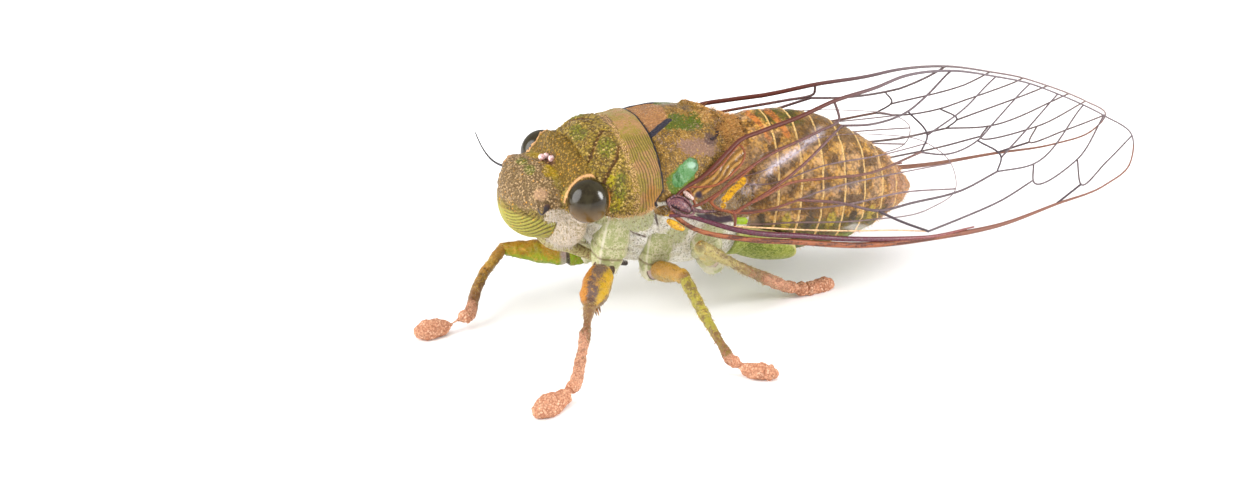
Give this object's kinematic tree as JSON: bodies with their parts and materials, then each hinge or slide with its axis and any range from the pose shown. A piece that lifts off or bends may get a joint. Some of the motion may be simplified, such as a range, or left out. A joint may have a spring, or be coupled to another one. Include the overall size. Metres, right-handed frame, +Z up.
{
  "type": "cicada",
  "caption": "Life-size still model of a large green and brown cicada at rest, with clear veined wings folded roofwise and mud-coated feet.",
  "frame": {"origin": "on the floor under the middle of the whole part's box, level with the soles of the six feet", "axes": "+Z up; -Y is forwards, out of the head, and +Y runs back to the wing tips; +X is the animal's left"},
  "size_m": [0.0326, 0.0576, 0.0152],
  "materials": {
    "shell": "satin brown and green chitin",
    "green_shell": "satin olive chitin with brown grain",
    "belly": "pale green chitin",
    "abdomen_shell": "satin golden brown chitin with pale bands",
    "eye_gloss": "glossy dark eye",
    "feeler": "dark bristle",
    "pale_joint": "pale green soft chitin",
    "leg_shell": "satin yellow-brown chitin",
    "dried_mud": "rough dried clay coat",
    "wing_film": "clear membrane with dark veins"
  },
  "bodies": {
    "root": {"head": "green_shell", "pronotum": "green_shell", "thorax": "shell", "abdomen": "abdomen_shell", "beak": "pale_joint", "eye_left": "eye_gloss", "eye_right": "eye_gloss", "antenna_left": "feeler", "antenna_right": "feeler", "drum_cover_left": "belly", "drum_cover_right": "belly", "forewing_left": "wing_film", "forewing_right": "wing_film", "hindwing_left": "wing_film", "hindwing_right": "wing_film", "coxa_fore_left": "pale_joint", "coxa_fore_right": "pale_joint", "coxa_mid_left": "pale_joint", "coxa_mid_right": "pale_joint", "coxa_hind_left": "pale_joint", "coxa_hind_right": "pale_joint", "femur_fore_left": "leg_shell", "femur_fore_right": "leg_shell", "femur_mid_left": "leg_shell", "femur_mid_right": "leg_shell", "femur_hind_left": "leg_shell", "femur_hind_right": "leg_shell", "tibia_fore_left": "leg_shell", "tibia_fore_right": "leg_shell", "tibia_mid_left": "leg_shell", "tibia_mid_right": "leg_shell", "tibia_hind_left": "leg_shell", "tibia_hind_right": "leg_shell", "foot_fore_left": "dried_mud", "foot_fore_right": "dried_mud", "foot_mid_left": "dried_mud", "foot_mid_right": "dried_mud", "foot_hind_left": "dried_mud", "foot_hind_right": "dried_mud"}
  },
  "joints": []
}
